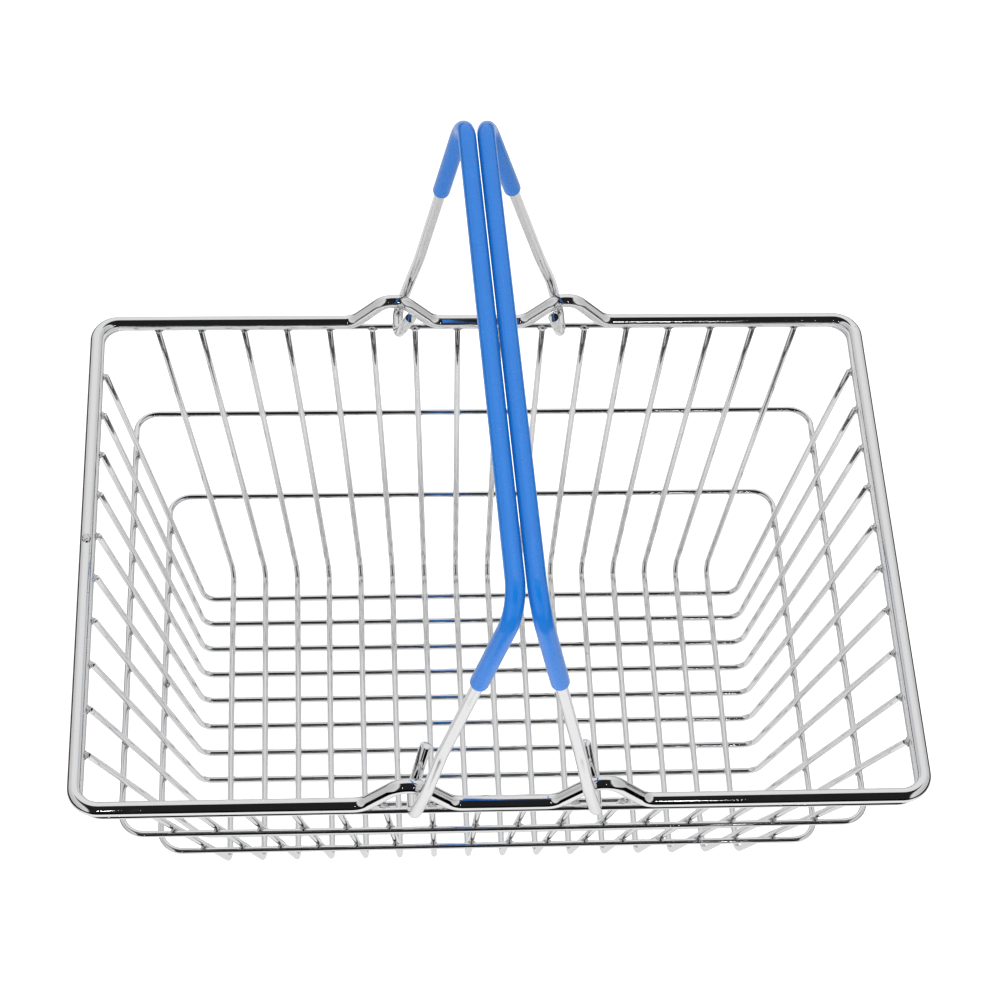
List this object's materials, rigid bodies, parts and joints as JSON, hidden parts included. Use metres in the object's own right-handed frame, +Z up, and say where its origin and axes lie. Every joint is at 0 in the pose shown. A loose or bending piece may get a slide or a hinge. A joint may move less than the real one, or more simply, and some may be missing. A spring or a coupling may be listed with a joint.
{
  "type": "shopping basket",
  "caption": "Tapered welded-wire shopping basket with ring-braced mesh walls and swinging carry handles in blue plastic sleeves, for carrying goods by hand.",
  "frame": {"origin": "middle of the plane that the basket stands on", "axes": "+X along the basket's length, +Y across its width towards one row of handle eyes, +Z up"},
  "size_m": [0.4276, 0.3222, 0.3427],
  "materials": {
    "basket_wire": "bright chrome plate over drawn steel wire, with small weld nuggets",
    "handle_wire": "bright chrome plate over bent steel wire",
    "sleeve": "smooth soft vinyl, semi-gloss blue"
  },
  "bodies": {
    "basket": {"rim_wire": "basket_wire", "top_ring": "basket_wire", "middle_ring": "basket_wire", "lower_ring": "basket_wire", "cross_wire_01": "basket_wire", "cross_wire_02": "basket_wire", "cross_wire_03": "basket_wire", "cross_wire_04": "basket_wire", "cross_wire_05": "basket_wire", "cross_wire_06": "basket_wire", "cross_wire_07": "basket_wire", "cross_wire_08": "basket_wire", "cross_wire_09": "basket_wire", "cross_wire_10": "basket_wire", "cross_wire_11": "basket_wire", "cross_wire_12": "basket_wire", "cross_wire_13": "basket_wire", "cross_wire_14": "basket_wire", "cross_wire_15": "basket_wire", "cross_wire_16": "basket_wire", "long_wire_01": "basket_wire", "long_wire_02": "basket_wire", "long_wire_03": "basket_wire", "long_wire_04": "basket_wire", "long_wire_05": "basket_wire", "long_wire_06": "basket_wire", "long_wire_07": "basket_wire", "long_wire_08": "basket_wire", "long_wire_09": "basket_wire", "long_wire_10": "basket_wire"},
    "left_handle": {"left_handle_wire": "handle_wire", "left_handle_sleeve": "sleeve"},
    "right_handle": {"right_handle_wire": "handle_wire", "right_handle_sleeve": "sleeve"}
  },
  "joints": [
    {"name": "left_handle_swing", "type": "hinge", "parent": "basket", "child": "left_handle", "pos_m": [-0.045, 0, 0.16879], "axis": [0, -1, 0], "range_deg": [0, 93]},
    {"name": "right_handle_swing", "type": "hinge", "parent": "basket", "child": "right_handle", "pos_m": [0.045, 0, 0.16879], "axis": [0, 1, 0], "range_deg": [0, 93]}
  ]
}
